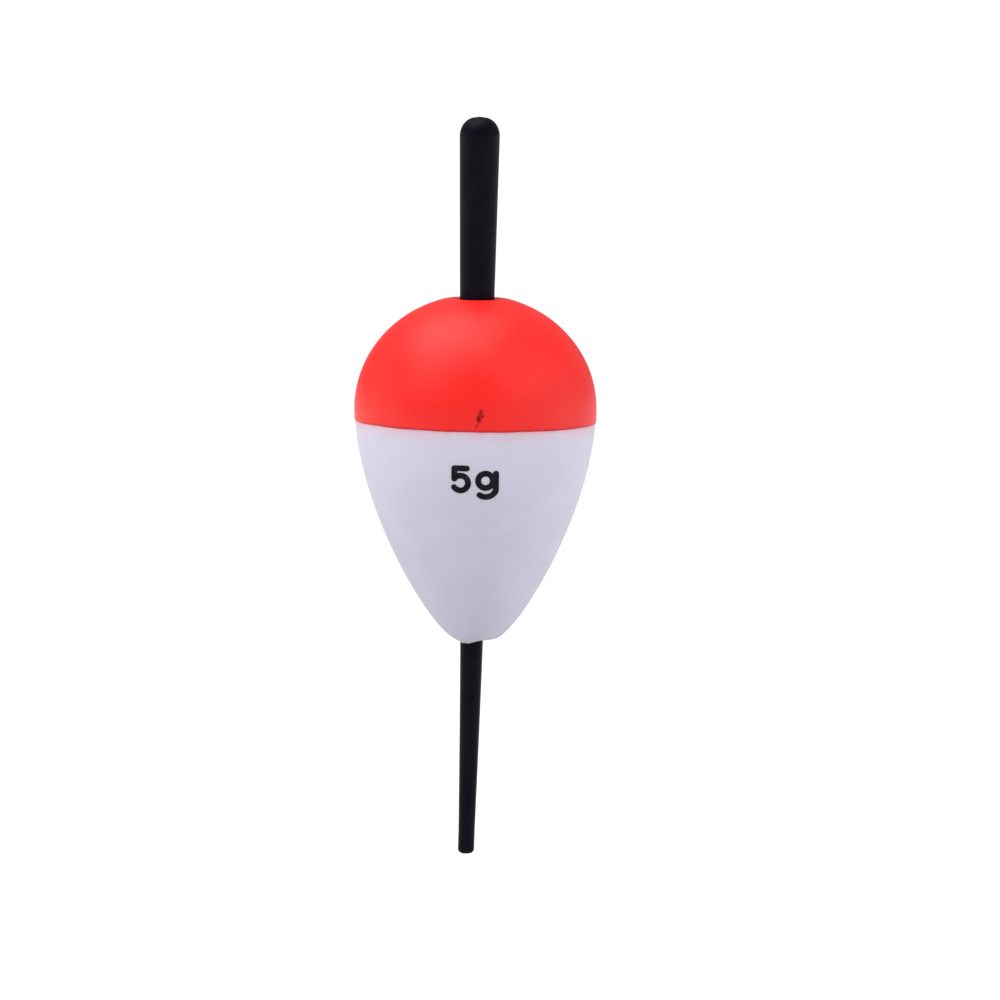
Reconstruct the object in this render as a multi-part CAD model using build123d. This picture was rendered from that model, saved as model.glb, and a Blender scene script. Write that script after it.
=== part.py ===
from build123d import *

import os

# A pear-shaped foam peg float for line fishing, in millimetres, with +Z up along the line bore.
# The origin is on the bore's axis, in the middle of its lower mouth at the small end of the body.
# The line runs through the bore, and the tapered peg pushed in beside it wedges it.

# Body, measured over all its paint
BODY_DIAMETER = 25.0
TAIL_HEIGHT = 24.0  # from the small end up to the widest plane
DOME_HEIGHT = 11.7  # from the widest plane up to the crown
SHOULDER_PULL = 10.4  # how far the side heads straight down before it turns in
FOOT_PULL = 2.2  # how far the small end stays flat before it turns up
MOUTH_LAND = 0.75  # flat ring left round the bore at the small end, before the body leans
BODY_LEAN = 0.95  # degrees off the bore's axis, about the widest plane, with the crown towards -X
SIDE_STEPS = 16  # spans in the copies of the side that lie under the paint

# Paint and ink
WATERLINE_DROP = 1.35  # from the widest plane down to the edge of the red, square to the bore
WHITE_COAT = 0.14
RED_COAT = 0.06
INK = 0.04

# Peg, one straight taper from its round top to a short straight tip
PEG_LENGTH = 76.5
PEG_BELOW_BODY = 22.5
PEG_TOP_DIAMETER = 4.15
PEG_TIP_DIAMETER = 1.65
PEG_TOP_ROUND = 1.8
TIP_STRAIGHT = 2.5
TIP_ROUND = 0.46
BORE_CLEARANCE = 0.05  # all round, with the peg pushed home
OVERCUT = 1.0  # how far the bore's cutter runs past each end of the body

# Weight rating, printed on the front, which looks along -Y
STROKE = 0.6
DIGIT_HEIGHT = 2.9
DIGIT_WIDTH = 2.15
LETTER_WIDTH = 2.4
LETTER_HEIGHT = 2.4  # above the digit's foot
LETTER_RING = 2.1
LETTER_TAIL = 0.64  # how far its hook hangs below the digit's foot
PRINT_PITCH = 2.7  # between the middles of the digit and the letter
PRINT_DROP = 6.3  # from the waterline down to the digit's foot

# Places that follow from the sizes above
CROWN_Z = TAIL_HEIGHT + DOME_HEIGHT
WATERLINE_Z = TAIL_HEIGHT - WATERLINE_DROP
PEG_TIP_Z = -PEG_BELOW_BODY
PEG_TOP_Z = PEG_TIP_Z + PEG_LENGTH
TAPER_LOW_Z = PEG_TIP_Z + TIP_STRAIGHT
ALL_PAINT = RED_COAT + WHITE_COAT


def peg_radius(height):
    """Radius of the peg's taper at a height."""
    share = (height - TAPER_LOW_Z) / (PEG_TOP_Z - TAPER_LOW_Z)
    return (PEG_TIP_DIAMETER + share * (PEG_TOP_DIAMETER - PEG_TIP_DIAMETER)) / 2


def taper(low_z, high_z, gap=0.0):
    """The peg's taper between two heights, wider all round by a gap."""
    cone = Cone(
        peg_radius(low_z) + gap,
        peg_radius(high_z) + gap,
        high_z - low_z,
        align=(Align.CENTER, Align.CENTER, Align.MIN),
    )
    return Pos(0, 0, low_z) * cone


def inside(curve, skin):
    """A curve that keeps a constant distance inside another one."""
    points = []
    for step in range(SIDE_STEPS + 1):
        along = step / SIDE_STEPS
        inward = (curve % along).rotate(Axis.Z, -90)
        points.append(curve @ along + inward * skin)
    return Spline(points, tangents=[curve % 0, curve % 1])


def pear(skin):
    """The body with no bore, under an outer skin of the given thickness."""
    radius = BODY_DIAMETER / 2
    foot_radius = peg_radius(0) + BORE_CLEARANCE + MOUTH_LAND
    side = Bezier(
        (radius, TAIL_HEIGHT),
        (radius, TAIL_HEIGHT - SHOULDER_PULL),
        (foot_radius + FOOT_PULL, 0),
        (foot_radius, 0),
    )
    if skin:
        side = inside(side, skin)
    dome = EllipticalCenterArc(
        (0, TAIL_HEIGHT), radius - skin, DOME_HEIGHT - skin, start_angle=0, arc_size=90
    )
    foot = Line((foot_radius, skin), (0, skin))
    middle = Line((0, skin), (0, CROWN_Z - skin))
    half = make_face([*dome.edges(), *side.edges(), *foot.edges(), *middle.edges()])
    widest = Pos(0, 0, TAIL_HEIGHT)
    return widest * Rot(0, -BODY_LEAN, 0) * widest.inverse() * revolve(Plane.XZ * half, Axis.Z)


def bore():
    """The tapered hole for line and peg, cut past both ends of the body."""
    return taper(-OVERCUT, CROWN_Z + OVERCUT, BORE_CLEARANCE)


def make_foam_core():
    return pear(ALL_PAINT) - bore()


def make_white_coat():
    return pear(RED_COAT) - pear(ALL_PAINT) - bore()


def make_red_coat():
    skin = pear(0) - pear(RED_COAT) - bore()
    return split(skin, Plane.XY.offset(WATERLINE_Z), keep=Keep.TOP)


def make_peg():
    tip = Cylinder(PEG_TIP_DIAMETER / 2, TIP_STRAIGHT, align=(Align.CENTER, Align.CENTER, Align.MIN))
    peg = taper(TAPER_LOW_Z, PEG_TOP_Z) + Pos(0, 0, PEG_TIP_Z) * tip
    top_rim = peg.edges().filter_by(GeomType.CIRCLE).sort_by(Axis.Z)[-1]
    peg = fillet(top_rim, PEG_TOP_ROUND)
    tip_rim = peg.edges().filter_by(GeomType.CIRCLE).sort_by(Axis.Z)[0]
    return fillet(tip_rim, TIP_ROUND)


def stroke(*lines):
    """One pen stroke with round ends along joined lines."""
    return SlotArc(Wire([edge for line in lines for edge in line.edges()]), STROKE)


def digit_five():
    """A bar, a short stem and a round bowl, standing on the X axis."""
    bowl_radius = (DIGIT_WIDTH - STROKE) / 2
    bowl = CenterArc((0, bowl_radius + STROKE / 2), bowl_radius, 145, -290)
    bar_y = DIGIT_HEIGHT - STROKE / 2
    bar_end = bowl_radius - STROKE / 4
    bar_and_stem = Polyline((bar_end, bar_y), (-bar_end, bar_y), bowl @ 0)
    return stroke(bar_and_stem, bowl)


def letter_g():
    """A ring, with a stem on its right that ends in a hook below the X axis."""
    ring_radius = (LETTER_RING - STROKE) / 2
    ring = Circle(ring_radius + STROKE / 2) - Circle(ring_radius - STROKE / 2)
    stem_x = (LETTER_WIDTH - STROKE) / 2
    ring_middle = Pos(ring_radius - stem_x, LETTER_HEIGHT - LETTER_RING / 2)
    stem = Line((stem_x, LETTER_HEIGHT - STROKE / 2), (stem_x, STROKE / 2))
    hook = ThreePointArc(stem @ 1, (0, STROKE / 2 - LETTER_TAIL), (STROKE / 4 - stem_x, -STROKE / 4))
    return ring_middle * ring + stroke(stem, hook)


def make_rating_print():
    """The two marks, cut out of a thin skin of ink that lies on the white coat."""
    ink = pear(RED_COAT - INK) - pear(RED_COAT)
    foot = Pos(0, WATERLINE_Z - PRINT_DROP)
    marks = []
    for mark, shift in ((digit_five(), -PRINT_PITCH / 2), (letter_g(), PRINT_PITCH / 2)):
        front = Plane.XZ * foot * Pos(shift, 0) * mark
        marks.append(ink & extrude(front, BODY_DIAMETER))
    return Compound(marks)


PIECES = {
    "foam_core": make_foam_core,
    "white_coat": make_white_coat,
    "red_coat": make_red_coat,
    "rating_print": make_rating_print,
    "peg": make_peg,
}

os.makedirs("parts", exist_ok=True)
for name, make in PIECES.items():
    export_step(make(), f"parts/{name}.step")
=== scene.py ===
import math

import bmesh
import bpy
from mathutils import Matrix, Vector


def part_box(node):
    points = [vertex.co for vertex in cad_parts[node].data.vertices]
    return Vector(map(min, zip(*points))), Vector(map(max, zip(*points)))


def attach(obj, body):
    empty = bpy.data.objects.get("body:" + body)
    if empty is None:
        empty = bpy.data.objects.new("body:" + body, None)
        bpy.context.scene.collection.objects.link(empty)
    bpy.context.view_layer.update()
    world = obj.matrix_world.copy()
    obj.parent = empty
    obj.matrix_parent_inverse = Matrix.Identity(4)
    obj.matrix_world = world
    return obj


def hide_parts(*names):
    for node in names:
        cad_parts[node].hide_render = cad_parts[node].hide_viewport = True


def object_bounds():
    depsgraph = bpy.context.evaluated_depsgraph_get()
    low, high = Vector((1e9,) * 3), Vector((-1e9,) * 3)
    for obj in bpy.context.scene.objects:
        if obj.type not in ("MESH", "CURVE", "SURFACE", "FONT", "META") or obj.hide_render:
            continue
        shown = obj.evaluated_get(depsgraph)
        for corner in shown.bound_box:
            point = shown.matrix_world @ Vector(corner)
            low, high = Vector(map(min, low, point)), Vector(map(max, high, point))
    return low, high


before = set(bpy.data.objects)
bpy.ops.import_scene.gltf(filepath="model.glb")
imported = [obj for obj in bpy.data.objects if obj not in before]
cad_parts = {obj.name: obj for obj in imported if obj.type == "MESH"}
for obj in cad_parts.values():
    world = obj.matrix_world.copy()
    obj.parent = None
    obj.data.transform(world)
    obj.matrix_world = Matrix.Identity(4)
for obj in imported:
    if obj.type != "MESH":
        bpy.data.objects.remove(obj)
cad_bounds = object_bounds()

# ----------------------------------------------------------------------------------------------
# Foam core. A pear moulded from expanded polystyrene beads, with a tapered bore from end to end.
# The bore isn't quite square to the body, so the body leans a little on it. Paint hides the
# outside; the beads show in the mouths and down the bore when the peg is out.

MM = 0.001
RED_LOW, RED_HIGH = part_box("red_coat")
WATERLINE = RED_LOW.z
BODY_RADIUS = (RED_HIGH.y - RED_LOW.y) / 2
WIDEST_PLANE = 24.0 * MM
DOME_HEIGHT = 11.7 * MM
CROWN = WIDEST_PLANE + DOME_HEIGHT
SHOULDER_PULL = 10.4 * MM
FOOT_PULL = 2.2 * MM
BODY_LEAN = math.radians(0.95)
BORE_LOW_RADIUS = 1.213 * MM
BORE_HIGH_RADIUS = 1.816 * MM
MOUTH_LAND = 0.75 * MM
FOOT_RADIUS = BORE_LOW_RADIUS + MOUTH_LAND
CROWN_LAND = 4 * MM  # ring round the upper mouth in which the body's lean fades in
CROWN_BAND = (CROWN - 3 * MM, CROWN - MM)  # heights between which the rim's roll fades in
RIM_ROLL = 0.50 * MM
RIM_WIDTH = 1.6 * MM
RED_THICKNESS = 0.06 * MM
ALL_PAINT = 0.20 * MM
BEAD_SIZE = 1.1 * MM
BEAD_RELIEF = 0.09 * MM
SEAM_REACH = 0.2
SEAM_SHADE = 0.12
SEAM_GREY = (0.48, 0.47, 0.45, 1)
CORE_STEPS = 20
LAND_STEPS = 5
BORE_STEPS = 170
SWEEP_RADIUS = 1 * MM
WELD_GAP = 0.0002 * MM
SHARP_ANGLE = math.radians(50)
PATCHES_PER_RIPPLE = 0.4
PATCH_EDGE = (0.35, 0.65)
SPECK_EDGE = (0.35, 0.10)


def bezier(points, share):
    """A point on a Bezier curve, from ever shorter runs between its control points."""
    while len(points) > 1:
        points = [a.lerp(b, share) for a, b in zip(points, points[1:])]
    return points[0]


def bore_radius(height):
    """Radius of the bore at a height."""
    return BORE_LOW_RADIUS + height / CROWN * (BORE_HIGH_RADIUS - BORE_LOW_RADIUS)


def land_outline(depth):
    """The flat land at the foot, from the bore out to the corner, a depth under the paint's face."""
    rim = Vector((bore_radius(depth), depth))
    corner = Vector((FOOT_RADIUS, depth))
    return [rim.lerp(corner, step / LAND_STEPS) for step in range(LAND_STEPS)]


def side_outline(depth, steps, low=0.0):
    """The side, from the foot's corner or a height above it up to the widest plane."""
    control = [
        Vector((FOOT_RADIUS, 0)),
        Vector((FOOT_RADIUS + FOOT_PULL, 0)),
        Vector((BODY_RADIUS, WIDEST_PLANE - SHOULDER_PULL)),
        Vector((BODY_RADIUS, WIDEST_PLANE)),
    ]
    a_little_on = 0.001
    points = []
    for step in range(steps):
        share = step / steps
        spot = bezier(control, share)
        along = (bezier(control, share + a_little_on) - spot).normalized()
        if spot.y >= low:
            points.append(spot + depth * Vector((-along.y, along.x)))
    return points


def dome_outline(depth, steps):
    """The dome, from the widest plane up to the rim of the bore, finest near the rim."""
    last = math.acos(BORE_HIGH_RADIUS / (BODY_RADIUS - depth))
    points = []
    for step in range(steps + 1):
        share = step / steps
        turn = last * share * (2 - share)
        radius = (BODY_RADIUS - depth) * math.cos(turn)
        points.append(Vector((radius, WIDEST_PLANE + (DOME_HEIGHT - depth) * math.sin(turn))))
    return points


def skin_outline(depth, steps):
    """The whole body's outline, from the bore at the foot up to the bore at the crown."""
    return land_outline(depth) + side_outline(depth, steps) + dome_outline(depth, steps)


def add(tree, kind, inputs=None, **settings):
    """A node with its settings, whose inputs are values or other nodes' outputs."""
    node = tree.nodes.new(kind)
    for name, value in settings.items():
        setattr(node, name, value)
    for name, value in (inputs or {}).items():
        if isinstance(value, bpy.types.NodeSocket):
            tree.links.new(value, node.inputs[name])
        else:
            node.inputs[name].default_value = value
    return node


def sums(tree, operation, *values):
    """One step of arithmetic between numbers or outputs."""
    return add(tree, "ShaderNodeMath", dict(enumerate(values)), operation=operation).outputs[0]


def vectors(tree, operation, **values):
    """One step of vector arithmetic, with its inputs named a, b and scale."""
    names = {"a": 0, "b": 1, "scale": "Scale"}
    inputs = {names[key]: value for key, value in values.items()}
    return add(tree, "ShaderNodeVectorMath", inputs, operation=operation)


def ramp(tree, value, low, high, start=0.0, end=1.0, smooth=True):
    """A value's way from low to high, mapped to the way from start to end."""
    inputs = {"Value": value, "From Min": low, "From Max": high, "To Min": start, "To Max": end}
    kind = "SMOOTHSTEP" if smooth else "LINEAR"
    return add(tree, "ShaderNodeMapRange", inputs, interpolation_type=kind).outputs["Result"]


def flattened(tree, spot):
    """A place's X, Y and Z, and the same place brought down level with the origin."""
    split = add(tree, "ShaderNodeSeparateXYZ", {0: spot}).outputs
    flat = add(tree, "ShaderNodeCombineXYZ", {"X": split["X"], "Y": split["Y"]}).outputs[0]
    return split, flat


def new_tree(name, kind, inputs, outputs):
    """An empty node tree with named inputs and outputs."""
    tree = bpy.data.node_groups.new(name, kind)
    for title, socket_type, value in inputs:
        socket = tree.interface.new_socket(title, in_out="INPUT", socket_type=socket_type)
        if value is not None:
            socket.default_value = value
    for title, socket_type in outputs:
        tree.interface.new_socket(title, in_out="OUTPUT", socket_type=socket_type)
    given = tree.nodes.new("NodeGroupInput").outputs
    result = tree.nodes.new("NodeGroupOutput").inputs
    return tree, given, result


def use(tree, group, inputs):
    """A group's node inside another tree."""
    kind = "GeometryNodeGroup" if tree.type == "GEOMETRY" else "ShaderNodeGroup"
    return add(tree, kind, inputs, node_tree=group)


def turning_group():
    """Turns an outline about the bore's axis: its X is the radius and its Z is the height."""
    tree, given, result = new_tree(
        "turned_about_bore",
        "GeometryNodeTree",
        [("Outline", "NodeSocketGeometry", None), ("Steps Around", "NodeSocketInt", 320)],
        [("Geometry", "NodeSocketGeometry")],
    )
    ring_inputs = {"Resolution": given["Steps Around"], "Radius": SWEEP_RADIUS}
    ring = add(tree, "GeometryNodeCurvePrimitiveCircle", ring_inputs)
    path = add(tree, "GeometryNodeSetCurveNormal", {"Curve": ring.outputs["Curve"]}, mode="Z_UP")
    spot = add(tree, "ShaderNodeSeparateXYZ", {0: add(tree, "GeometryNodeInputPosition").outputs[0]})
    outward = sums(tree, "SUBTRACT", spot.outputs["X"], SWEEP_RADIUS)
    upward = sums(tree, "MULTIPLY", spot.outputs["Z"], -1)
    flat = add(tree, "ShaderNodeCombineXYZ", {"X": outward, "Y": upward})
    line = add(tree, "GeometryNodeMeshToCurve", {"Mesh": given["Outline"]})
    laid = {"Geometry": line.outputs[0], "Position": flat.outputs[0]}
    profile = add(tree, "GeometryNodeSetPosition", laid)
    sweep = {"Curve": path.outputs[0], "Profile Curve": profile.outputs[0]}
    turned = add(tree, "GeometryNodeCurveToMesh", sweep)
    welding = {"Geometry": turned.outputs[0], "Distance": WELD_GAP}
    welded = add(tree, "GeometryNodeMergeByDistance", welding)
    tree.links.new(welded.outputs[0], result["Geometry"])
    return tree


def leaning_group():
    """Leans the body about its widest plane and rolls its upper rim down into the upright bore."""
    tree, given, result = new_tree(
        "leaning_on_bore",
        "GeometryNodeTree",
        [
            ("Geometry", "NodeSocketGeometry", None),
            ("Lean", "NodeSocketFloat", BODY_LEAN),
            ("Widest Plane", "NodeSocketFloat", WIDEST_PLANE),
            ("Land at Foot", "NodeSocketFloat", MOUTH_LAND),
            ("Land at Crown", "NodeSocketFloat", CROWN_LAND),
            ("Rim Roll", "NodeSocketFloat", RIM_ROLL),
            ("Rim Width", "NodeSocketFloat", RIM_WIDTH),
        ],
        [("Geometry", "NodeSocketGeometry")],
    )
    spot = add(tree, "GeometryNodeInputPosition").outputs[0]
    split, flat = flattened(tree, spot)
    radius = vectors(tree, "LENGTH", a=flat).outputs["Value"]
    bore = ramp(tree, split["Z"], 0, CROWN, BORE_LOW_RADIUS, BORE_HIGH_RADIUS, smooth=False)
    land = ramp(tree, split["Z"], 0, CROWN, given["Land at Foot"], given["Land at Crown"], smooth=False)
    beyond = sums(tree, "SUBTRACT", radius, bore)
    share = ramp(tree, beyond, 0, land, smooth=False)
    pivot = add(tree, "ShaderNodeCombineXYZ", {"Z": given["Widest Plane"]}).outputs[0]
    turn = {"Vector": spot, "Center": pivot, "Angle": sums(tree, "MULTIPLY", given["Lean"], -1)}
    leant = add(tree, "ShaderNodeVectorRotate", turn, rotation_type="Y_AXIS").outputs[0]
    shift = vectors(tree, "SUBTRACT", a=leant, b=spot).outputs[0]
    tilt = vectors(tree, "SCALE", a=shift, scale=share).outputs[0]
    at_rim = sums(tree, "POWER", ramp(tree, beyond, given["Rim Width"], 0, smooth=False), 2)
    high_up = ramp(tree, split["Z"], *CROWN_BAND)
    roll = sums(tree, "MULTIPLY", sums(tree, "MULTIPLY", at_rim, high_up), given["Rim Roll"])
    rolled = add(tree, "ShaderNodeCombineXYZ", {"Z": sums(tree, "MULTIPLY", roll, -1)}).outputs[0]
    offset = vectors(tree, "ADD", a=tilt, b=rolled).outputs[0]
    moved = add(tree, "GeometryNodeSetPosition", {"Geometry": given["Geometry"], "Offset": offset})
    tree.links.new(moved.outputs[0], result["Geometry"])
    return tree


TURNING = turning_group()
LEANING = leaning_group()


def end_tree(tree, result, geometry, material):
    """The last nodes of a piece's tree: real faces, smooth, in one material."""
    real = add(tree, "GeometryNodeRealizeInstances", {"Geometry": geometry})
    smooth = add(tree, "GeometryNodeSetShadeSmooth", {"Geometry": real.outputs[0]})
    coloured = {"Geometry": smooth.outputs[0], "Material": material}
    finished = add(tree, "GeometryNodeSetMaterial", coloured)
    tree.links.new(finished.outputs[0], result["Geometry"])


def grown(name, outline, closed, tree, values):
    """A piece that a tree makes from an outline, as a plain closed mesh that points outwards."""
    wire = bpy.data.meshes.new(name)
    edges = [(i, i + 1) for i in range(len(outline) - 1)]
    if closed:
        edges.append((len(outline) - 1, 0))
    wire.from_pydata([(p.x, 0, p.y) for p in outline], edges, [])
    piece = bpy.data.objects.new(name, wire)
    bpy.context.scene.collection.objects.link(piece)
    modifier = piece.modifiers.new(tree.name, "NODES")
    modifier.node_group = tree
    for item in tree.interface.items_tree:
        if item.in_out == "INPUT" and item.name in values:
            modifier[item.identifier] = values[item.name]
    depsgraph = bpy.context.evaluated_depsgraph_get()
    mesh = bpy.data.meshes.new_from_object(piece.evaluated_get(depsgraph))
    piece.modifiers.remove(modifier)
    piece.data = mesh
    mesh.name = name
    shell = bmesh.new()
    shell.from_mesh(mesh)
    bmesh.ops.recalc_face_normals(shell, faces=shell.faces)
    if shell.calc_volume(signed=True) < 0:
        bmesh.ops.reverse_faces(shell, faces=shell.faces)
    shell.to_mesh(mesh)
    shell.free()
    mesh.set_sharp_from_angle(angle=SHARP_ANGLE)
    return piece


def grain_group():
    """Fine grain over a slower ripple, as a normal, with a roughness that drifts over the surface."""
    tree, given, result = new_tree(
        "surface_grain",
        "ShaderNodeTree",
        [
            ("Vector", "NodeSocketVector", None),
            ("Grain Size", "NodeSocketFloat", 0.2 * MM),
            ("Grain Depth", "NodeSocketFloat", 0.002 * MM),
            ("Ripple Size", "NodeSocketFloat", 3 * MM),
            ("Ripple Depth", "NodeSocketFloat", 0.01 * MM),
            ("Roughness", "NodeSocketFloat", 0.5),
            ("Roughness Spread", "NodeSocketFloat", 0.1),
        ],
        [("Normal", "NodeSocketVector"), ("Roughness", "NodeSocketFloat")],
    )
    heights = []
    for size, depth in (("Grain Size", "Grain Depth"), ("Ripple Size", "Ripple Depth")):
        scale = sums(tree, "DIVIDE", 1, given[size])
        noise = {"Vector": given["Vector"], "Scale": scale, "Detail": 3}
        relief = add(tree, "ShaderNodeTexNoise", noise).outputs["Fac"]
        heights.append(sums(tree, "MULTIPLY", relief, given[depth]))
    height = sums(tree, "ADD", *heights)
    bump = add(tree, "ShaderNodeBump", {"Height": height, "Distance": 1.0, "Strength": 1.0})
    scale = sums(tree, "DIVIDE", PATCHES_PER_RIPPLE, given["Ripple Size"])
    patches = {"Vector": given["Vector"], "Scale": scale, "Detail": 4}
    patchy = add(tree, "ShaderNodeTexNoise", patches).outputs["Fac"]
    centred = sums(tree, "SUBTRACT", patchy, 0.5)
    spread = sums(tree, "MULTIPLY", centred, given["Roughness Spread"])
    tree.links.new(bump.outputs["Normal"], result["Normal"])
    tree.links.new(sums(tree, "ADD", given["Roughness"], spread), result["Roughness"])
    return tree


def mixed_colour(tree, inputs):
    """Colour A turned towards colour B by a factor."""
    numbers = {"Factor": 0, "A": 6, "B": 7}
    numbered = {numbers[name]: value for name, value in inputs.items()}
    return add(tree, "ShaderNodeMix", numbered, data_type="RGBA").outputs[2]


def drift_group():
    """A colour that drifts towards a second one in soft patches, with sparse fine specks of a third."""
    tree, given, result = new_tree(
        "colour_drift",
        "ShaderNodeTree",
        [
            ("Vector", "NodeSocketVector", None),
            ("Colour", "NodeSocketColor", None),
            ("Drift Colour", "NodeSocketColor", None),
            ("Speck Colour", "NodeSocketColor", None),
            ("Patch Size", "NodeSocketFloat", 5 * MM),
            ("Speck Size", "NodeSocketFloat", 0.5 * MM),
            ("Speck Share", "NodeSocketFloat", 0.02),
        ],
        [("Colour", "NodeSocketColor")],
    )
    patch_scale = sums(tree, "DIVIDE", 1, given["Patch Size"])
    patches = {"Vector": given["Vector"], "Scale": patch_scale, "Detail": 4}
    patchy = ramp(tree, add(tree, "ShaderNodeTexNoise", patches).outputs["Fac"], *PATCH_EDGE)
    tints = {"Factor": patchy, "A": given["Colour"], "B": given["Drift Colour"]}
    tinted = mixed_colour(tree, tints)
    speck_scale = sums(tree, "DIVIDE", 1, given["Speck Size"])
    specks = {"Vector": given["Vector"], "Scale": speck_scale, "Randomness": 1}
    voronoi = add(tree, "ShaderNodeTexVoronoi", specks)
    chosen = add(tree, "ShaderNodeSeparateXYZ", {0: voronoi.outputs["Color"]}).outputs["X"]
    picked = sums(tree, "LESS_THAN", chosen, given["Speck Share"])
    round_spot = ramp(tree, voronoi.outputs["Distance"], *SPECK_EDGE)
    speck = sums(tree, "MULTIPLY", picked, round_spot)
    spotted = {"Factor": speck, "A": tinted, "B": given["Speck Colour"]}
    tree.links.new(mixed_colour(tree, spotted), result["Colour"])
    return tree


GRAIN = grain_group()
DRIFT = drift_group()


def new_material(name):
    """A material's tree, its shader and its piece's own coordinates."""
    material = bpy.data.materials.new(name)
    material.use_nodes = True
    tree = material.node_tree
    shader = next(node for node in tree.nodes if node.type == "BSDF_PRINCIPLED")
    place = add(tree, "ShaderNodeTexCoord").outputs["Object"]
    return material, tree, shader, place


def finish_shader(tree, shader, place, colour, grain):
    """Joins a colour and the shared grain to a shader."""
    surface = use(tree, GRAIN, {"Vector": place, **grain})
    tree.links.new(colour, shader.inputs["Base Color"])
    tree.links.new(surface.outputs["Normal"], shader.inputs["Normal"])
    tree.links.new(surface.outputs["Roughness"], shader.inputs["Roughness"])


def foam_material():
    """Dry white beads with darker seams where they meet."""
    material, tree, shader, place = new_material("moulded_foam")
    beads = {"Vector": place, "Scale": 1 / BEAD_SIZE}
    edges = add(tree, "ShaderNodeTexVoronoi", beads, feature="DISTANCE_TO_EDGE").outputs["Distance"]
    seam = ramp(tree, edges, 0.0, SEAM_SHADE)
    drift = {
        "Vector": place,
        "Colour": (0.80, 0.80, 0.78, 1),
        "Drift Colour": (0.72, 0.72, 0.70, 1),
        "Speck Colour": (0.55, 0.55, 0.54, 1),
        "Patch Size": 2 * MM,
    }
    bead = use(tree, DRIFT, drift).outputs["Colour"]
    colour = mixed_colour(tree, {"Factor": seam, "A": SEAM_GREY, "B": bead})
    shader.inputs["Specular IOR Level"].default_value = 0.3
    grain = {"Grain Size": 0.12 * MM, "Grain Depth": 0.006 * MM, "Roughness": 0.7}
    finish_shader(tree, shader, place, colour, grain)
    return material


def foam_tree():
    """The core with the seams between its beads pressed in."""
    tree, given, result = new_tree(
        "foam_core",
        "GeometryNodeTree",
        [
            ("Outline", "NodeSocketGeometry", None),
            ("Steps Around", "NodeSocketInt", 240),
            ("Bead Size", "NodeSocketFloat", BEAD_SIZE),
            ("Bead Relief", "NodeSocketFloat", BEAD_RELIEF),
            ("Material", "NodeSocketMaterial", None),
        ],
        [("Geometry", "NodeSocketGeometry")],
    )
    turn = {"Outline": given["Outline"], "Steps Around": given["Steps Around"]}
    turned = use(tree, TURNING, turn).outputs[0]
    scale = sums(tree, "DIVIDE", 1, given["Bead Size"])
    edges = add(tree, "ShaderNodeTexVoronoi", {"Scale": scale}, feature="DISTANCE_TO_EDGE")
    seam = ramp(tree, edges.outputs["Distance"], SEAM_REACH, 0.0)
    depth = sums(tree, "MULTIPLY", seam, given["Bead Relief"])
    flat = flattened(tree, add(tree, "GeometryNodeInputPosition").outputs[0])[1]
    away = vectors(tree, "NORMALIZE", a=flat).outputs[0]
    offset = vectors(tree, "SCALE", a=away, scale=depth).outputs[0]
    radius = vectors(tree, "LENGTH", a=flat).outputs["Value"]
    in_bore = sums(tree, "LESS_THAN", radius, BORE_HIGH_RADIUS + 0.01 * MM)
    pressed = add(
        tree,
        "GeometryNodeSetPosition",
        {"Geometry": turned, "Selection": in_bore, "Offset": offset},
    )
    leant = use(tree, LEANING, {"Geometry": pressed.outputs[0]}).outputs[0]
    end_tree(tree, result, leant, given["Material"])
    return tree


core_outline = skin_outline(ALL_PAINT, CORE_STEPS)
core_top = core_outline[-1]
for step in range(1, BORE_STEPS):
    height = core_top.y + (ALL_PAINT - core_top.y) * step / BORE_STEPS
    core_outline.append(Vector((bore_radius(height), height)))
foam_core = grown("foam_core_beads", core_outline, True, foam_tree(), {"Material": foam_material()})
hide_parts("foam_core")
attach(foam_core, "float_body")

# ----------------------------------------------------------------------------------------------
# White coat. One dip of lavender-white paint over the whole core, satin when dry. It ran down
# as it dried, so its lip round the lower mouth is uneven and hangs lowest at the front left.

UNEVENNESS = 0.012 * MM
SWELL_SIZE = 6 * MM
SWELL_START = 3 * MM
LIP_WAVE = 0.03 * MM
LIP_LOBES = 2.2
LIP_DROP = 0.40 * MM
LIP_DROP_TURN = math.radians(-125)  # about the bore, from +X
LIP_DROP_SPREAD = (0.6, 1.0)  # cosines between which the drop deepens
FOOT_LIP_REACH = 1.5 * MM
FOOT_BAND = (2 * MM, 0.5 * MM)
CROWN_LIP_REACH = 0.5 * MM
EDGE_LOBES = 3.0
EDGE_REACH = 1.5 * MM
SKIN_STEPS = 74
UNDERSIDE_STEPS = 28
MIST_REACH = 2.4 * MM
MIST_STRENGTH = 0.40
FRINGE_REACH = 0.4 * MM
FRINGE_STRENGTH = 0.35
DROPLET_SIZE = 0.9 * MM
OVERSPRAY = (0.86, 0.36, 0.42, 1)


def swelling(tree, given, spot, radius):
    """How far the paint's slow unevenness stands out, fading to nothing at the mouths."""
    noise = {"Vector": spot, "Scale": 1 / SWELL_SIZE, "Detail": 1}
    slow = add(tree, "ShaderNodeTexNoise", noise).outputs["Fac"]
    swell = sums(tree, "MULTIPLY", sums(tree, "SUBTRACT", slow, 0.5), 2)
    beyond = sums(tree, "SUBTRACT", radius, BORE_HIGH_RADIUS)
    swell = sums(tree, "MULTIPLY", swell, ramp(tree, beyond, 0, SWELL_START))
    return sums(tree, "MULTIPLY", swell, given["Unevenness"])


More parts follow.
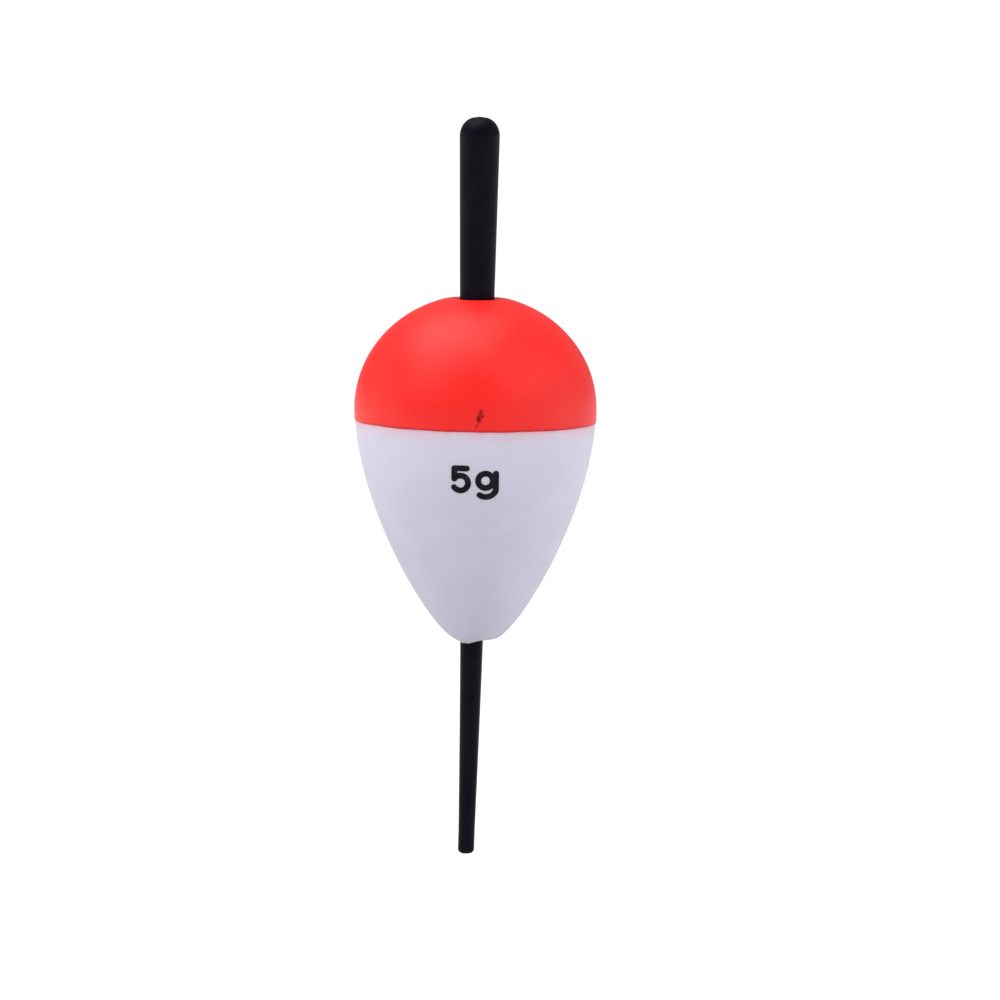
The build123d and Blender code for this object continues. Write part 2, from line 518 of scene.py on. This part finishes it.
def lip_lift(tree, given, round_way, radius, height):
    """How far the lips at the two mouths rise, with the one run that hangs down."""
    lobes = vectors(tree, "SCALE", a=round_way, scale=LIP_LOBES).outputs[0]
    noise = {"Vector": lobes, "Scale": 1, "Detail": 2}
    uneven = add(tree, "ShaderNodeTexNoise", noise).outputs["Fac"]
    lip = sums(tree, "MULTIPLY", sums(tree, "SUBTRACT", uneven, 0.5), 4)
    lip = sums(tree, "MULTIPLY", lip, given["Lip Wave"])
    turn = given["Lip Drop Turn"]
    lowest_way = {"X": sums(tree, "COSINE", turn), "Y": sums(tree, "SINE", turn)}
    lowest = add(tree, "ShaderNodeCombineXYZ", lowest_way).outputs[0]
    facing = vectors(tree, "DOT_PRODUCT", a=round_way, b=lowest).outputs["Value"]
    drop = sums(tree, "MULTIPLY", ramp(tree, facing, *LIP_DROP_SPREAD), given["Lip Drop"])
    lip = sums(tree, "SUBTRACT", lip, drop)
    near_bore = ramp(tree, sums(tree, "SUBTRACT", radius, BORE_LOW_RADIUS), FOOT_LIP_REACH, 0)
    at_foot = sums(tree, "MULTIPLY", near_bore, ramp(tree, height, *FOOT_BAND))
    near_rim = ramp(tree, sums(tree, "SUBTRACT", radius, BORE_HIGH_RADIUS), CROWN_LIP_REACH, 0)
    at_crown = sums(tree, "MULTIPLY", near_rim, ramp(tree, height, *CROWN_BAND))
    return sums(tree, "MULTIPLY", lip, sums(tree, "ADD", at_foot, at_crown))


def edge_lift(tree, given, round_way, across, above_edge):
    """How far a coat's lower edge rises: it wanders, and is level though the body leans."""
    lobes = vectors(tree, "SCALE", a=round_way, scale=EDGE_LOBES).outputs[0]
    noise = {"Vector": lobes, "Scale": 1, "Detail": 4}
    uneven = add(tree, "ShaderNodeTexNoise", noise).outputs["Fac"]
    wave = sums(tree, "MULTIPLY", sums(tree, "SUBTRACT", uneven, 0.5), 3)
    wave = sums(tree, "MULTIPLY", wave, given["Edge Wave"])
    levelled = sums(tree, "MULTIPLY", across, -math.tan(BODY_LEAN))
    near_edge = ramp(tree, above_edge, EDGE_REACH, 0)
    return sums(tree, "MULTIPLY", sums(tree, "ADD", wave, levelled), near_edge)


def painted_tree():
    """A skin of paint: a slow unevenness, ragged lips at the mouths and a wavy lower edge."""
    tree, given, result = new_tree(
        "painted_skin",
        "GeometryNodeTree",
        [
            ("Outline", "NodeSocketGeometry", None),
            ("Steps Around", "NodeSocketInt", 320),
            ("Unevenness", "NodeSocketFloat", UNEVENNESS),
            ("Lip Wave", "NodeSocketFloat", LIP_WAVE),
            ("Lip Drop", "NodeSocketFloat", 0.0),
            ("Lip Drop Turn", "NodeSocketFloat", LIP_DROP_TURN),
            ("Edge Height", "NodeSocketFloat", -CROWN),
            ("Edge Wave", "NodeSocketFloat", 0.0),
            ("Material", "NodeSocketMaterial", None),
        ],
        [("Geometry", "NodeSocketGeometry")],
    )
    turn = {"Outline": given["Outline"], "Steps Around": given["Steps Around"]}
    turned = use(tree, TURNING, turn).outputs[0]
    spot = add(tree, "GeometryNodeInputPosition").outputs[0]
    split, flat = flattened(tree, spot)
    radius = vectors(tree, "LENGTH", a=flat).outputs["Value"]
    round_way = vectors(tree, "NORMALIZE", a=flat).outputs[0]
    above_edge = sums(tree, "SUBTRACT", split["Z"], given["Edge Height"])
    marked = add(
        tree,
        "GeometryNodeStoreNamedAttribute",
        {"Geometry": turned, "Name": "above_edge", "Value": above_edge},
        data_type="FLOAT",
        domain="POINT",
    ).outputs[0]
    swell = swelling(tree, given, spot, radius)
    outward = vectors(tree, "SCALE", a=round_way, scale=swell).outputs[0]
    lip = lip_lift(tree, given, round_way, radius, split["Z"])
    edge = edge_lift(tree, given, round_way, split["X"], above_edge)
    upward = add(tree, "ShaderNodeCombineXYZ", {"Z": sums(tree, "ADD", lip, edge)}).outputs[0]
    offset = vectors(tree, "ADD", a=outward, b=upward).outputs[0]
    shaped = add(tree, "GeometryNodeSetPosition", {"Geometry": marked, "Offset": offset})
    leant = use(tree, LEANING, {"Geometry": shaped.outputs[0]}).outputs[0]
    end_tree(tree, result, leant, given["Material"])
    return tree


PAINTED = painted_tree()


def white_material():
    """Satin lavender-white paint, with a breath of red overspray just under the red."""
    material, tree, shader, place = new_material("white_paint")
    drift = {
        "Vector": place,
        "Colour": (0.690, 0.667, 0.805, 1),
        "Drift Colour": (0.668, 0.648, 0.770, 1),
        "Speck Colour": (0.635, 0.616, 0.720, 1),
        "Patch Size": 4 * MM,
        "Speck Size": 0.7 * MM,
        "Speck Share": 0.012,
    }
    paint = use(tree, DRIFT, drift).outputs["Colour"]
    height = add(tree, "ShaderNodeSeparateXYZ", {0: place}).outputs["Z"]
    droplets = {"Vector": place, "Scale": 1 / DROPLET_SIZE, "Detail": 4}
    patchy = ramp(tree, add(tree, "ShaderNodeTexNoise", droplets).outputs["Fac"], 0.25, 0.75, 0.45, 1.0)
    mist = sums(tree, "POWER", ramp(tree, height, WATERLINE - MIST_REACH, WATERLINE), 2.5)
    mist = sums(tree, "MULTIPLY", mist, MIST_STRENGTH)
    fringe = ramp(tree, height, WATERLINE - FRINGE_REACH, WATERLINE)
    fringe = sums(tree, "MULTIPLY", fringe, FRINGE_STRENGTH)
    overspray = sums(tree, "MULTIPLY", sums(tree, "ADD", mist, fringe), patchy)
    colour = mixed_colour(tree, {"Factor": overspray, "A": paint, "B": OVERSPRAY})
    shader.inputs["Specular IOR Level"].default_value = 0.25
    grain = {
        "Grain Size": 0.22 * MM,
        "Grain Depth": 0.0012 * MM,
        "Ripple Size": 2.4 * MM,
        "Ripple Depth": 0.010 * MM,
        "Roughness": 0.5,
        "Roughness Spread": 0.12,
    }
    finish_shader(tree, shader, place, colour, grain)
    return material


white_outline = skin_outline(RED_THICKNESS, SKIN_STEPS) + skin_outline(ALL_PAINT, UNDERSIDE_STEPS)[::-1]
white_values = {"Lip Drop": LIP_DROP, "Material": white_material()}
white_coat = grown("white_paint_shell", white_outline, True, PAINTED, white_values)
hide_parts("white_coat")
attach(white_coat, "float_body")

# ----------------------------------------------------------------------------------------------
# Red coat. The dome was dipped again, in red-orange paint, down to a little under the widest
# plane. Its lower edge is a soft bead that wanders, darker near the edge itself, and a small pit
# near the front has no dent modelled: its dark red is painted shade.

EDGE_WAVE = 0.06 * MM
EDGE_BEAD = 0.02 * MM
EDGE_ROUND = 0.05 * MM
EDGE_FALL = 0.5 * MM
DARK_EDGE = (0.35 * MM, 0.08 * MM)  # heights above the edge between which it darkens
# Colour the red turns towards over the last 0.35 mm above its lower edge.
EDGE_DARK_RED = (0.60, 0.009, 0.007, 1)
EDGE_STEPS = 400
DOME_STEPS = 96
INNER_DOME_STEPS = 30
PIT_HALF_DEPTH = 2 * MM
PIT_EDGE = (1.35, 0.35)
PIT_RAGGEDNESS = 0.8
PIT_GRAIN = 0.35 * MM
# Painted shade in the pit, which has no dent modelled.
PIT_SHADE_RED = (0.26, 0.0, 0.0, 1)
# The pit's painted shade, in three lobes and a faint spot under it: place across and up, half
# width and half height in mm, and how dark each is.
PITS = [
    (0.60, 24.72, 0.25, 0.32, 0.85),
    (0.42, 24.07, 0.28, 0.46, 1.0),
    (0.72, 24.34, 0.30, 0.26, 0.8),
    (0.21, 23.32, 0.18, 0.22, 0.45),
]


def red_outline():
    """The red skin, from its rounded lower edge up to the crown and back down inside."""
    low = WATERLINE + EDGE_ROUND
    outer = side_outline(0, EDGE_STEPS, low) + dome_outline(0, DOME_STEPS)
    inner = side_outline(RED_THICKNESS, EDGE_STEPS, low) + dome_outline(RED_THICKNESS, INNER_DOME_STEPS)
    low_out = outer[0]
    low_in = inner[0]
    middle = (low_out + low_in) / 2
    half = (low_out - low_in).length / 2
    edge = []
    for degrees in range(30, 180, 30):
        turn = math.radians(degrees)
        edge.append(middle + Vector((-math.cos(turn) * half, -math.sin(turn) * EDGE_ROUND)))
    for point in outer:
        near = max(0.0, 1 - (point.y - WATERLINE) / EDGE_FALL)
        point.x += EDGE_BEAD * near * (1 - near) * 2
    return edge + outer + inner[::-1]


def red_material():
    """Satin red-orange paint, darker near its lower edge, with painted shade in the pit."""
    material, tree, shader, place = new_material("red_paint")
    drift = {
        "Vector": place,
        "Colour": (0.93, 0.017, 0.013, 1),
        "Drift Colour": (0.91, 0.012, 0.009, 1),
        "Speck Colour": (0.88, 0.014, 0.011, 1),
        "Patch Size": 5 * MM,
        "Speck Size": 0.8 * MM,
        "Speck Share": 0.008,
    }
    paint = use(tree, DRIFT, drift).outputs["Colour"]
    above = add(tree, "ShaderNodeAttribute", attribute_name="above_edge").outputs["Fac"]
    # The red turns darker over the last 0.35 mm above its lower edge.
    edge_darkening = ramp(tree, above, *DARK_EDGE)
    edged = mixed_colour(tree, {"Factor": edge_darkening, "A": paint, "B": EDGE_DARK_RED})
    rough = add(tree, "ShaderNodeTexNoise", {"Vector": place, "Scale": 1 / PIT_GRAIN, "Detail": 3})
    ragged = sums(tree, "MULTIPLY", sums(tree, "SUBTRACT", rough.outputs["Fac"], 0.5), PIT_RAGGEDNESS)
    # Painted shade for the pit's hollow, which the mesh doesn't have; it also makes the pit matte.
    pit_shade = 0.0
    for across, height, half_width, half_height, depth in PITS:
        middle = (across * MM, -BODY_RADIUS, height * MM)
        away = vectors(tree, "SUBTRACT", a=place, b=middle).outputs[0]
        squashed = (1 / (half_width * MM), 1 / PIT_HALF_DEPTH, 1 / (half_height * MM))
        scaled = vectors(tree, "MULTIPLY", a=away, b=squashed).outputs[0]
        distance = sums(tree, "ADD", vectors(tree, "LENGTH", a=scaled).outputs["Value"], ragged)
        pit_shade = sums(tree, "MAXIMUM", pit_shade, ramp(tree, distance, *PIT_EDGE, 0, depth))
    colour = mixed_colour(tree, {"Factor": pit_shade, "A": edged, "B": PIT_SHADE_RED})
    shader.inputs["Specular IOR Level"].default_value = 0.40
    grain = {
        "Grain Size": 0.25 * MM,
        "Grain Depth": 0.0012 * MM,
        "Ripple Size": 2.8 * MM,
        "Ripple Depth": 0.012 * MM,
        "Roughness": ramp(tree, pit_shade, 0, 1, 0.44, 0.90, smooth=False),
        "Roughness Spread": 0.10,
    }
    finish_shader(tree, shader, place, colour, grain)
    return material


red_values = {
    "Edge Height": WATERLINE,
    "Edge Wave": EDGE_WAVE,
    "Material": red_material(),
}
red_coat = grown("red_paint_shell", red_outline(), True, PAINTED, red_values)
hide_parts("red_coat")
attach(red_coat, "float_body")

# ----------------------------------------------------------------------------------------------
# Rating print. A digit and a unit letter, stamped on the white with a soft pad in black ink.
# The ink lies in a thin film, a little starved in places and greyer there.


def ink_material():
    """Black pad ink, thin and greyish in patches."""
    material, tree, shader, place = new_material("pad_ink")
    drift = {
        "Vector": place,
        "Colour": (0.006, 0.006, 0.009, 1),
        "Drift Colour": (0.016, 0.014, 0.020, 1),
        "Speck Colour": (0.060, 0.055, 0.065, 1),
        "Patch Size": 0.6 * MM,
        "Speck Size": 0.16 * MM,
        "Speck Share": 0.06,
    }
    colour = use(tree, DRIFT, drift).outputs["Colour"]
    shader.inputs["Specular IOR Level"].default_value = 0.1
    grain = {"Grain Size": 0.1 * MM, "Grain Depth": 0.002 * MM, "Roughness": 0.6}
    finish_shader(tree, shader, place, colour, grain)
    return material


rating_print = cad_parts["rating_print"]
rating_print.data.materials.clear()
rating_print.data.materials.append(ink_material())

# ----------------------------------------------------------------------------------------------
# Peg. One injection moulding in black plastic, an even taper from a blunt round top to a short
# straight tip. The mould has left a fine line down each side, and the thin end has a slight bow.

PEG_LOW, PEG_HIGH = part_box("peg")
PEG_TOP_RADIUS = 2.075 * MM
PEG_TIP_RADIUS = 0.825 * MM
TIP_STRAIGHT = 2.5 * MM
TIP_ROUND = 0.46 * MM
SHOULDER_WIDTH = 1.70 * MM
SHOULDER_HEIGHT = 1.90 * MM
TOP_CROWN = 0.05 * MM
PARTING_HEIGHT = 0.022 * MM
PARTING_WIDTH = 0.11 * MM
PARTING_END = (0.3 * MM, 0.8 * MM)  # distances from the axis between which the lines begin
BOW = 0.25 * MM
BOW_START = 3 * MM
BOW_POWER = 1.5
TIP_FLAT_STEPS = 4
TIP_ROUND_STEPS = 8
TAPER_STEPS = 300
SHOULDER_STEPS = 16
CROWN_STEPS = 8


def peg_radius(height):
    """Radius of the peg's taper at a height."""
    low = PEG_LOW.z + TIP_STRAIGHT
    share = max(0.0, (height - low) / (PEG_HIGH.z - low))
    return PEG_TIP_RADIUS + share * (PEG_TOP_RADIUS - PEG_TIP_RADIUS)


def peg_outline():
    """The peg's outline, from the middle of its tip up to the middle of its top."""
    points = []
    tip_flat = PEG_TIP_RADIUS - TIP_ROUND
    for step in range(TIP_FLAT_STEPS):
        points.append(Vector((tip_flat * step / TIP_FLAT_STEPS, PEG_LOW.z)))
    for step in range(TIP_ROUND_STEPS + 1):
        turn = math.radians(90 * step / TIP_ROUND_STEPS)
        reach = Vector((math.sin(turn), 1 - math.cos(turn))) * TIP_ROUND
        points.append(Vector((tip_flat, PEG_LOW.z)) + reach)
    low = PEG_LOW.z + TIP_ROUND
    high = PEG_HIGH.z - SHOULDER_HEIGHT - TOP_CROWN
    for step in range(1, TAPER_STEPS):
        height = low + (high - low) * step / TAPER_STEPS
        points.append(Vector((peg_radius(height), height)))
    flat = peg_radius(high) - SHOULDER_WIDTH
    for step in range(SHOULDER_STEPS + 1):
        turn = math.radians(90 * step / SHOULDER_STEPS)
        across = flat + SHOULDER_WIDTH * math.cos(turn)
        points.append(Vector((across, high + SHOULDER_HEIGHT * math.sin(turn))))
    for step in range(1, CROWN_STEPS + 1):
        share = step / CROWN_STEPS
        height = high + SHOULDER_HEIGHT + TOP_CROWN * share * (2 - share)
        points.append(Vector((flat * (1 - share), height)))
    return points


def peg_tree():
    """The turned peg with its two parting lines and its bow."""
    tree, given, result = new_tree(
        "peg",
        "GeometryNodeTree",
        [
            ("Outline", "NodeSocketGeometry", None),
            ("Steps Around", "NodeSocketInt", 128),
            ("Parting Height", "NodeSocketFloat", PARTING_HEIGHT),
            ("Parting Width", "NodeSocketFloat", PARTING_WIDTH),
            ("Bow", "NodeSocketFloat", BOW),
            ("Bow Start", "NodeSocketFloat", BOW_START),
            ("Tip Height", "NodeSocketFloat", PEG_LOW.z),
            ("Material", "NodeSocketMaterial", None),
        ],
        [("Geometry", "NodeSocketGeometry")],
    )
    turn = {"Outline": given["Outline"], "Steps Around": given["Steps Around"]}
    turned = use(tree, TURNING, turn).outputs[0]
    spot = add(tree, "GeometryNodeInputPosition").outputs[0]
    split, flat = flattened(tree, spot)
    outward = vectors(tree, "NORMALIZE", a=flat).outputs[0]
    off_line = sums(tree, "ABSOLUTE", split["Y"])
    off_axis = sums(tree, "ABSOLUTE", split["X"])
    on_line = ramp(tree, off_line, given["Parting Width"], 0)
    ridge = sums(tree, "MULTIPLY", on_line, ramp(tree, off_axis, *PARTING_END))
    ridge = sums(tree, "MULTIPLY", ridge, given["Parting Height"])
    raised = vectors(tree, "SCALE", a=outward, scale=ridge).outputs[0]
    run = ramp(tree, split["Z"], given["Bow Start"], given["Tip Height"], smooth=False)
    aside = sums(tree, "MULTIPLY", sums(tree, "POWER", run, BOW_POWER), given["Bow"])
    sideways = add(tree, "ShaderNodeCombineXYZ", {"X": sums(tree, "MULTIPLY", aside, -1)})
    offset = vectors(tree, "ADD", a=raised, b=sideways.outputs[0]).outputs[0]
    shaped = add(tree, "GeometryNodeSetPosition", {"Geometry": turned, "Offset": offset})
    end_tree(tree, result, shaped.outputs[0], given["Material"])
    return tree


def peg_material():
    """Black plastic with a bluish cast and a fine pebbled skin from the mould."""
    material, tree, shader, place = new_material("black_plastic")
    drift = {
        "Vector": place,
        "Colour": (0.0016, 0.0014, 0.0052, 1),
        "Drift Colour": (0.0027, 0.0024, 0.0072, 1),
        "Speck Colour": (0.010, 0.0095, 0.0165, 1),
        "Patch Size": 1.6 * MM,
        "Speck Size": 0.35 * MM,
        "Speck Share": 0.05,
    }
    colour = use(tree, DRIFT, drift).outputs["Colour"]
    shader.inputs["Specular IOR Level"].default_value = 0.12
    grain = {
        "Grain Size": 0.28 * MM,
        "Grain Depth": 0.007 * MM,
        "Ripple Size": 1.6 * MM,
        "Ripple Depth": 0.010 * MM,
        "Roughness": 0.52,
        "Roughness Spread": 0.16,
    }
    finish_shader(tree, shader, place, colour, grain)
    return material


peg_values = {"Material": peg_material()}
peg = grown("black_peg", peg_outline(), False, peg_tree(), peg_values)
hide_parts("peg")
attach(peg, "peg")

# ----------------------------------------------------------------------------------------------
# Surroundings. A white light tent with a large softbox overhead, two beside the camera and two
# matte side walls, over a pale floor. The camera stands back with a long lens, slightly above.

FLOOR_GAP = 160 * MM
FLOOR_RADIUS = 6.0
FLOOR_GREYS = ((0.56, 0.56, 0.56, 1), (0.60, 0.60, 0.60, 1))
FLOOR_GLOW = 0.95
GLOW_BAND = (0.45, 0.70)
TENT_BRIGHTNESS = 0.29
OPEN_FRONT = 0.15
OPEN_BAND = (-0.90, -0.55)
BACKDROP_BRIGHTNESS = 1.1
SHOT_WIDTH = 103.3 * MM
LENS = 200.0
SENSOR = 36.0
CAMERA_RAISE = math.radians(6.3)
CAMERA_ROLL = math.radians(0.95)
CAMERA_TARGET = Vector((2.69 * MM, 0, 14.5 * MM))


def floor_material():
    """Pale matte floor, lit from under like a light table, with faint mottling."""
    material, tree, shader, place = new_material("pale_floor")
    noise = add(tree, "ShaderNodeTexNoise", {"Vector": place, "Scale": 8, "Detail": 3}).outputs["Fac"]
    pair = {"Factor": noise, "A": FLOOR_GREYS[0], "B": FLOOR_GREYS[1]}
    tree.links.new(mixed_colour(tree, pair), shader.inputs["Base Color"])
    shader.inputs["Roughness"].default_value = 1.0
    shader.inputs["Specular IOR Level"].default_value = 0.0
    away = vectors(tree, "LENGTH", a=flattened(tree, place)[1]).outputs["Value"]
    glow = ramp(tree, away, *GLOW_BAND, 0.0, FLOOR_GLOW)
    tree.links.new(glow, shader.inputs["Emission Strength"])
    shader.inputs["Emission Color"].default_value = (1, 1, 1, 1)
    return material


floor_mesh = bpy.data.meshes.new("pale_floor")
disc = bmesh.new()
bmesh.ops.create_circle(disc, cap_ends=True, segments=96, radius=FLOOR_RADIUS)
bmesh.ops.translate(disc, vec=(0, 0, cad_bounds[0][2] - FLOOR_GAP), verts=disc.verts)
disc.to_mesh(floor_mesh)
disc.free()
floor_mesh.materials.append(floor_material())
floor = bpy.data.objects.new("pale_floor", floor_mesh)
bpy.context.scene.collection.objects.link(floor)


def softbox(name, place, size, brightness, mirrored=True):
    """A square light that faces the middle of the float, and shows in its gloss if mirrored."""
    light = bpy.data.lights.new(name, "AREA")
    light.size = size
    light.energy = brightness * math.pi * size * size
    lamp = bpy.data.objects.new(name, light)
    bpy.context.scene.collection.objects.link(lamp)
    aim = CAMERA_TARGET - Vector(place)
    lamp.location = place
    lamp.rotation_euler = aim.to_track_quat("-Z", "Y").to_euler()
    lamp.visible_camera = False
    lamp.visible_glossy = mirrored


softbox("overhead_softbox", (-0.13, 0.02, 0.55), 0.56, 2.1)
softbox("upper_left_softbox", (-0.38, -0.36, 0.46), 0.50, 2.85, mirrored=False)
softbox("right_softbox", (0.42, -0.34, 0.38), 0.50, 2.15, mirrored=False)
softbox("left_wall", (-0.54, 0.05, 0.13), 0.46, 0.97, mirrored=False)
softbox("right_wall", (0.54, 0.08, 0.13), 0.46, 1.10, mirrored=False)

world = bpy.data.worlds.new("light_tent")
world.use_nodes = True
bpy.context.scene.world = world
sky = world.node_tree
background = next(node for node in sky.nodes if node.type == "BACKGROUND")
way = add(sky, "ShaderNodeTexCoord").outputs["Generated"]
forward = add(sky, "ShaderNodeSeparateXYZ", {0: way}).outputs["Y"]
tent = ramp(sky, forward, *OPEN_BAND, OPEN_FRONT * TENT_BRIGHTNESS, TENT_BRIGHTNESS)
seen = add(sky, "ShaderNodeLightPath").outputs["Is Camera Ray"]
backdrop = sums(sky, "MULTIPLY", seen, BACKDROP_BRIGHTNESS)
sky.links.new(sums(sky, "MAXIMUM", tent, backdrop), background.inputs["Strength"])
background.inputs["Color"].default_value = (1, 1, 1, 1)

camera_data = bpy.data.cameras.new("camera")
camera_data.lens = LENS
camera_data.sensor_width = SENSOR
camera_data.clip_start = 0.01
camera_data.clip_end = 50
camera = bpy.data.objects.new("camera", camera_data)
bpy.context.scene.collection.objects.link(camera)
distance = SHOT_WIDTH * LENS / SENSOR
back = Vector((0, -math.cos(CAMERA_RAISE), math.sin(CAMERA_RAISE)))
camera.location = CAMERA_TARGET + back * distance
level = (-back).to_track_quat("-Z", "Y").to_matrix()
camera.rotation_euler = (level @ Matrix.Rotation(CAMERA_ROLL, 3, "Z")).to_euler()
bpy.context.scene.camera = camera
bpy.context.scene.view_settings.view_transform = "Standard"
